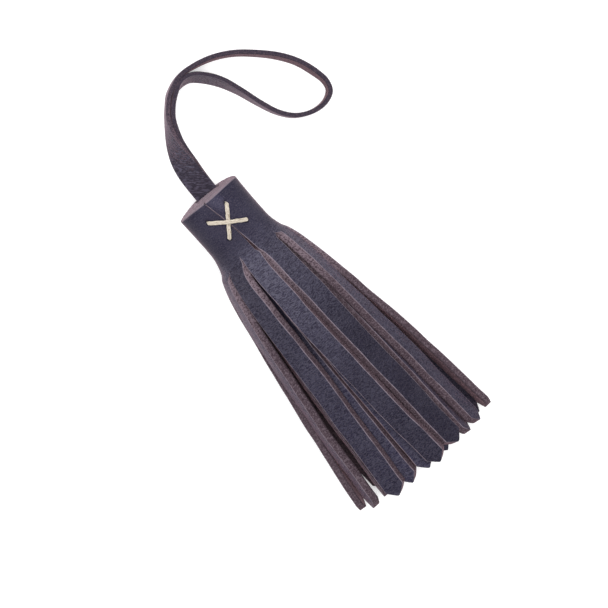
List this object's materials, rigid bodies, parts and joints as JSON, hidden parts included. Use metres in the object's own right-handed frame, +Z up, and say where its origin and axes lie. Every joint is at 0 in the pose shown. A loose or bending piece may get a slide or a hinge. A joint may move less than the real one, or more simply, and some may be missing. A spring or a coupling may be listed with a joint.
{
  "type": "leather tassel",
  "caption": "Leather tassel lying on its side: a rolled, fringed sheet with a cross stitch on its head and a folded strap loop to hang it by.",
  "frame": {"origin": "centre of the base of the whole object's box, on the surface that the tassel lies on", "axes": "+Z up; the roll's axis is level along Y, with the head and strap towards +Y and the strip tips towards -Y; the strap's loop is on the +X side"},
  "size_m": [0.0757, 0.1382, 0.0261],
  "materials": {
    "rolled_leather": "fine-grained, low sheen",
    "strap_loop": "fine-grained, low sheen",
    "cross_stitch": "waxed twisted thread"
  },
  "bodies": {
    "root": {"rolled_leather": "rolled_leather", "strap_loop": "strap_loop", "cross_stitch": "cross_stitch"}
  },
  "joints": []
}
